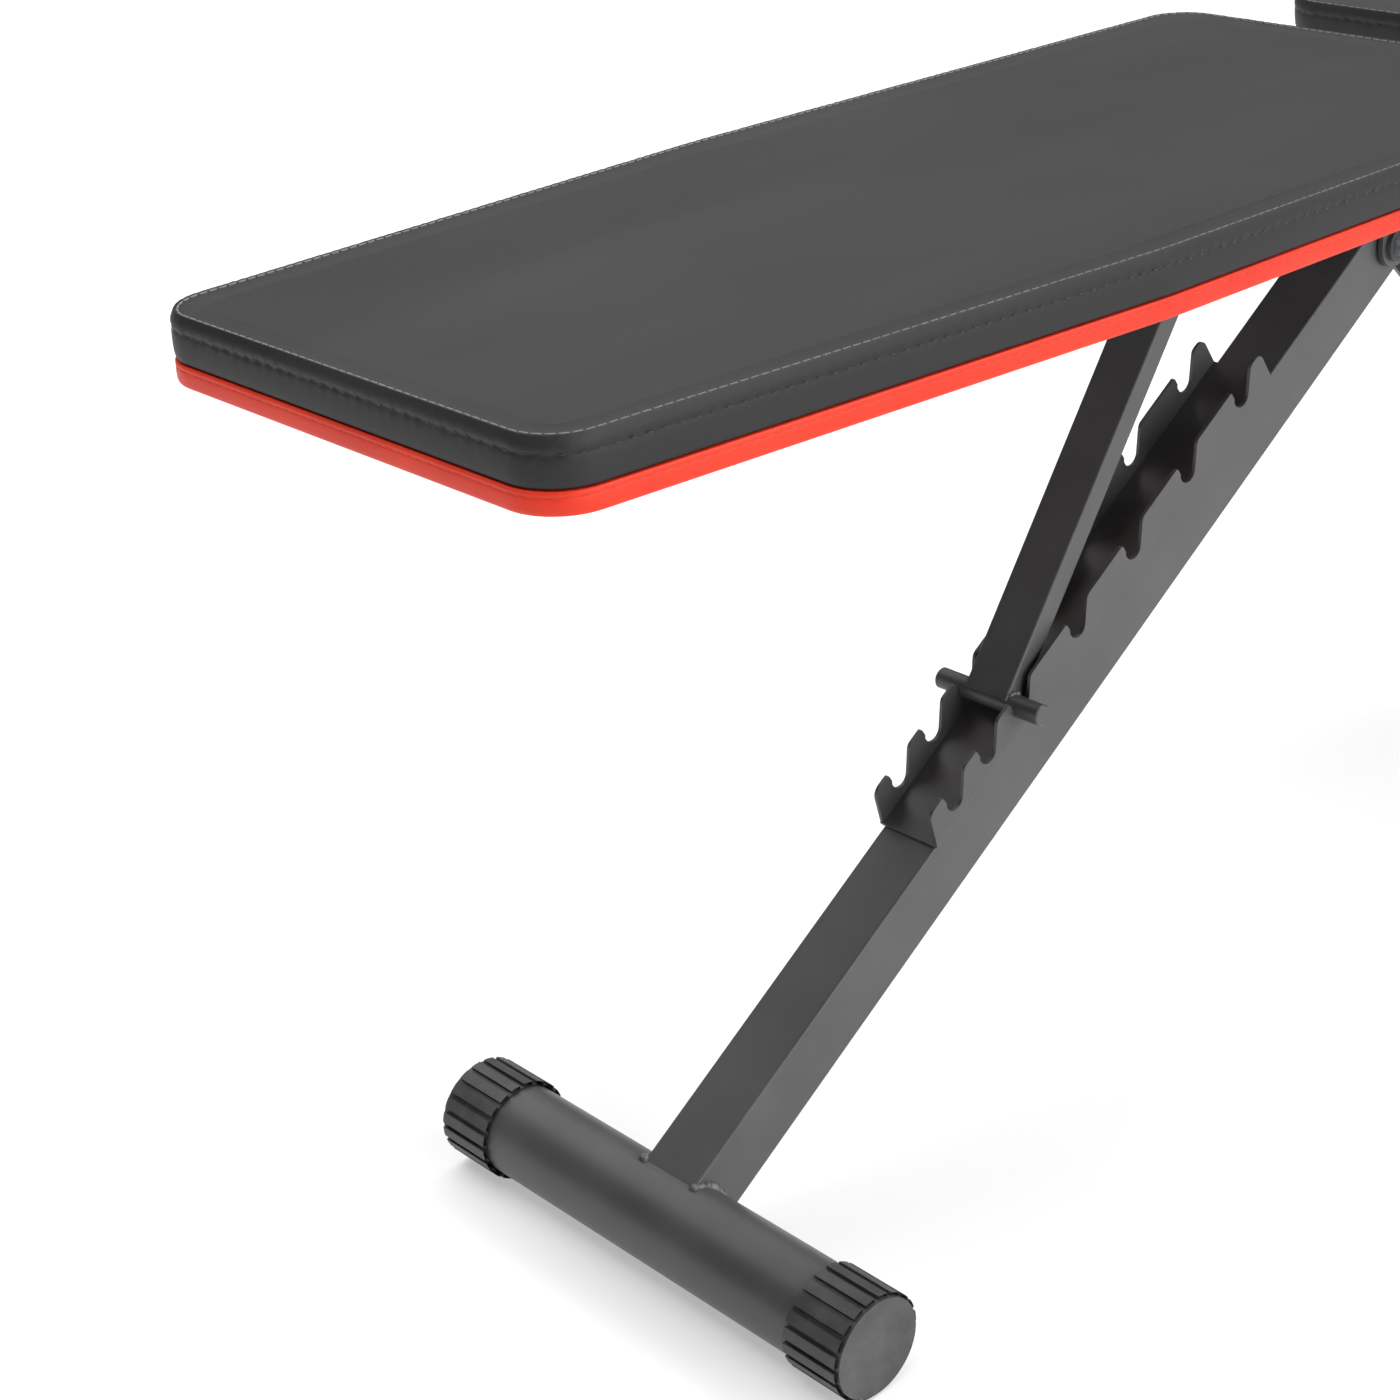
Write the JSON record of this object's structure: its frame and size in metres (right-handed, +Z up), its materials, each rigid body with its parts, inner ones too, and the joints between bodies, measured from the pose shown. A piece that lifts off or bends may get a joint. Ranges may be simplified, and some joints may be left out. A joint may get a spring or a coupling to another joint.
{
  "type": "adjustable weight bench",
  "caption": "Padded weight bench with a backrest propped by a notched rack, a tilted seat, foam leg rollers and a folding front frame on round feet.",
  "frame": {"origin": "on the floor, under the middle of the bench's bounding box", "axes": "+X towards the seat and front foot, +Y across the bench, +Z up"},
  "size_m": [1.192, 0.3528, 0.5638],
  "materials": {
    "powder_coat": "satin powder coat",
    "cap_plastic": "moulded",
    "zinc": "bright zinc plate",
    "plywood": "raw",
    "red_vinyl": "satin vinyl",
    "black_vinyl": "grained satin vinyl",
    "foam": "closed-cell foam"
  },
  "bodies": {
    "rear_frame": {"rear_foot_tube": "powder_coat", "rear_foot_caps": "cap_plastic", "rear_leg": "powder_coat", "rear_leg_welds": "powder_coat", "rear_leg_plug": "cap_plastic", "notch_rack": "powder_coat", "fold_bracket": "powder_coat", "pivot_washers": "cap_plastic", "pivot_discs": "cap_plastic", "pivot_bolt": "zinc", "pivot_nut": "zinc", "fold_bolt": "zinc"},
    "back_rest": {"back_hinge_ears": "powder_coat", "back_rails": "powder_coat", "back_rail_plugs": "cap_plastic", "back_cross_plates": "powder_coat", "back_pad_screws": "zinc", "back_board": "plywood", "back_trim": "red_vinyl", "back_pad": "black_vinyl", "strut_bolt": "zinc", "strut_nut": "zinc", "strut_spacers": "cap_plastic"},
    "prop_strut": {"strut_tube": "powder_coat", "cross_bar": "powder_coat", "strut_welds": "powder_coat"},
    "front_frame": {"front_foot_tube": "powder_coat", "front_foot_caps": "cap_plastic", "front_leg": "powder_coat", "front_leg_welds": "powder_coat", "rear_seat_post": "powder_coat", "front_seat_post": "powder_coat", "seat_tube": "powder_coat", "seat_tube_plugs": "cap_plastic", "seat_cross_plates": "powder_coat", "seat_pad_screws": "zinc", "seat_board": "plywood", "seat_trim": "red_vinyl", "seat_pad": "black_vinyl", "upper_roller_bar": "powder_coat", "lower_roller_bar": "powder_coat", "roller_bar_caps": "cap_plastic", "roller_collars": "cap_plastic"},
    "upper_left_roller": {"upper_foam_left": "foam"},
    "upper_right_roller": {"upper_foam_right": "foam"},
    "lower_left_roller": {"lower_foam_left": "foam"},
    "lower_right_roller": {"lower_foam_right": "foam"},
    "fold_knob": {"fold_knob": "cap_plastic"}
  },
  "joints": [
    {"name": "back_tilt", "type": "hinge", "parent": "rear_frame", "child": "back_rest", "pos_m": [0.14313, 0, 0.42435], "axis": [0, 1, 0], "range_deg": [0, 85]},
    {"name": "strut_swing", "type": "hinge", "parent": "back_rest", "child": "prop_strut", "pos_m": [-0.01657, 0, 0.4865], "axis": [0, 1, 0], "range_deg": [-70, 2]},
    {"name": "front_fold", "type": "hinge", "parent": "rear_frame", "child": "front_frame", "pos_m": [0.241, 0, 0.376], "axis": [0, 1, 0], "range_deg": [0, 98]},
    {"name": "knob_spin", "type": "hinge", "parent": "rear_frame", "child": "fold_knob", "pos_m": [0.241, 0, 0.376], "axis": [0, 1, 0], "continuous": true},
    {"name": "upper_left_spin", "type": "hinge", "parent": "front_frame", "child": "upper_left_roller", "pos_m": [0.507, 0, 0.438], "axis": [0, 1, 0], "continuous": true},
    {"name": "upper_right_spin", "type": "hinge", "parent": "front_frame", "child": "upper_right_roller", "pos_m": [0.507, 0, 0.438], "axis": [0, 1, 0], "continuous": true},
    {"name": "lower_left_spin", "type": "hinge", "parent": "front_frame", "child": "lower_left_roller", "pos_m": [0.507, 0, 0.232], "axis": [0, 1, 0], "continuous": true},
    {"name": "lower_right_spin", "type": "hinge", "parent": "front_frame", "child": "lower_right_roller", "pos_m": [0.507, 0, 0.232], "axis": [0, 1, 0], "continuous": true}
  ],
  "couplings": [
    {"joint": "strut_swing", "follows": "back_tilt", "ratio": -0.8}
  ]
}
